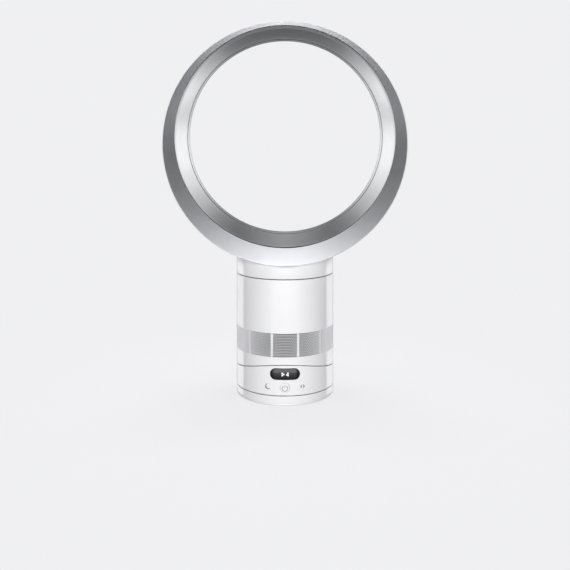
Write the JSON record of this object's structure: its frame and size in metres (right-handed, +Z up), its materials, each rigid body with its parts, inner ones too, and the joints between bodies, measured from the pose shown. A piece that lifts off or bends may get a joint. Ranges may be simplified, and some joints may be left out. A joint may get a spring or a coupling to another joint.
{
  "type": "bladeless fan",
  "caption": "Bladeless desk fan: an eccentric air loop on a round body with a hidden impeller, tilting on a curved saddle over an oscillating base.",
  "frame": {"origin": "on the surface the fan stands on, below the centre line of its round body", "axes": "+Z up; -Y is the front, where the display is and the air comes out; +X is to the right as seen from the front"},
  "size_m": [0.351, 0.147, 0.552],
  "materials": {
    "white_shell": "polished white",
    "silver_ring": "satin silver paint on plastic",
    "dark_plastic": "fine grain",
    "grey_plastic": "moulded",
    "impeller_plastic": "moulded",
    "display_glass": "polished black window",
    "button_white": "polished white",
    "rubber": "matte",
    "foam": "open-cell foam",
    "circuit_board": "solder-mask green",
    "steel": "machined",
    "motor_iron": "laminated",
    "copper_wire": "enamelled copper wire"
  },
  "bodies": {
    "foot": {"foot_shell": "white_shell", "base_plate": "dark_plastic", "rubber_feet": "rubber", "base_screws": "steel", "power_inlet": "dark_plastic", "pivot_hub": "grey_plastic", "hub_screws": "steel", "hub_clip": "steel", "glide_ring": "grey_plastic", "fixed_gear": "grey_plastic"},
    "control_base": {"control_shell": "white_shell", "turntable_plate": "dark_plastic", "turntable_screws": "steel", "display_lens": "display_glass", "display_frame": "dark_plastic", "display_board": "circuit_board", "button_switch": "circuit_board", "control_board": "circuit_board", "motor_bracket": "dark_plastic", "oscillation_motor": "steel", "cradle_plate": "dark_plastic"},
    "oscillation_drive": {"drive_pinion": "grey_plastic", "pinion_shaft": "steel"},
    "power_button": {"power_button": "button_white"},
    "tilting_body": {"body_shell": "white_shell", "tilt_shoe": "dark_plastic", "tilt_rail_left": "dark_plastic", "tilt_rail_right": "dark_plastic", "rail_screws": "steel", "glide_pads": "grey_plastic", "floor_foam": "foam", "inlet_bellmouth": "grey_plastic", "impeller_housing": "grey_plastic", "housing_seal": "rubber", "support_ring": "dark_plastic", "isolation_mounts": "rubber", "motor_bucket_lower": "grey_plastic", "motor_bucket_upper": "grey_plastic", "diffuser_vanes": "grey_plastic", "motor_stator": "motor_iron", "motor_windings": "copper_wire", "lower_bearing": "steel", "upper_bearing": "steel", "driver_board": "circuit_board", "bayonet_ring": "dark_plastic", "top_foam": "foam"},
    "fan_rotor": {"impeller": "impeller_plastic", "impeller_nut": "steel", "motor_shaft": "steel", "motor_rotor": "motor_iron"},
    "air_loop": {"loop_outer_shell": "white_shell", "coanda_ring": "silver_ring", "front_ring": "silver_ring", "slot_spacers": "dark_plastic", "loop_neck": "white_shell", "neck_seal": "rubber"}
  },
  "joints": [
    {"name": "oscillation", "type": "hinge", "parent": "foot", "child": "control_base", "pos_m": [0, 0, 0.0157], "axis": [0, 0, 1], "range_deg": [-35, 35]},
    {"name": "pinion_spin", "type": "hinge", "parent": "control_base", "child": "oscillation_drive", "pos_m": [0, 0.0315, 0.0214], "axis": [0, 0, 1], "range_deg": [-123, 123]},
    {"name": "power_press", "type": "slide", "parent": "control_base", "child": "power_button", "axis": [0, 1, 0], "range_m": [0, 0.001], "stiffness_N_per_m": 600},
    {"name": "tilt", "type": "hinge", "parent": "control_base", "child": "tilting_body", "pos_m": [0, 0, 0.24583], "axis": [1, 0, 0], "range_deg": [-10, 10]},
    {"name": "impeller_spin", "type": "hinge", "parent": "tilting_body", "child": "fan_rotor", "pos_m": [0, 0, 0.13], "axis": [0, 0, 1], "continuous": true},
    {"name": "loop_twist", "type": "hinge", "parent": "tilting_body", "child": "air_loop", "pos_m": [0, 0, 0.1818], "axis": [0, 0, 1], "range_deg": [0, 17]}
  ],
  "couplings": [
    {"joint": "pinion_spin", "follows": "oscillation", "ratio": 3.5}
  ]
}
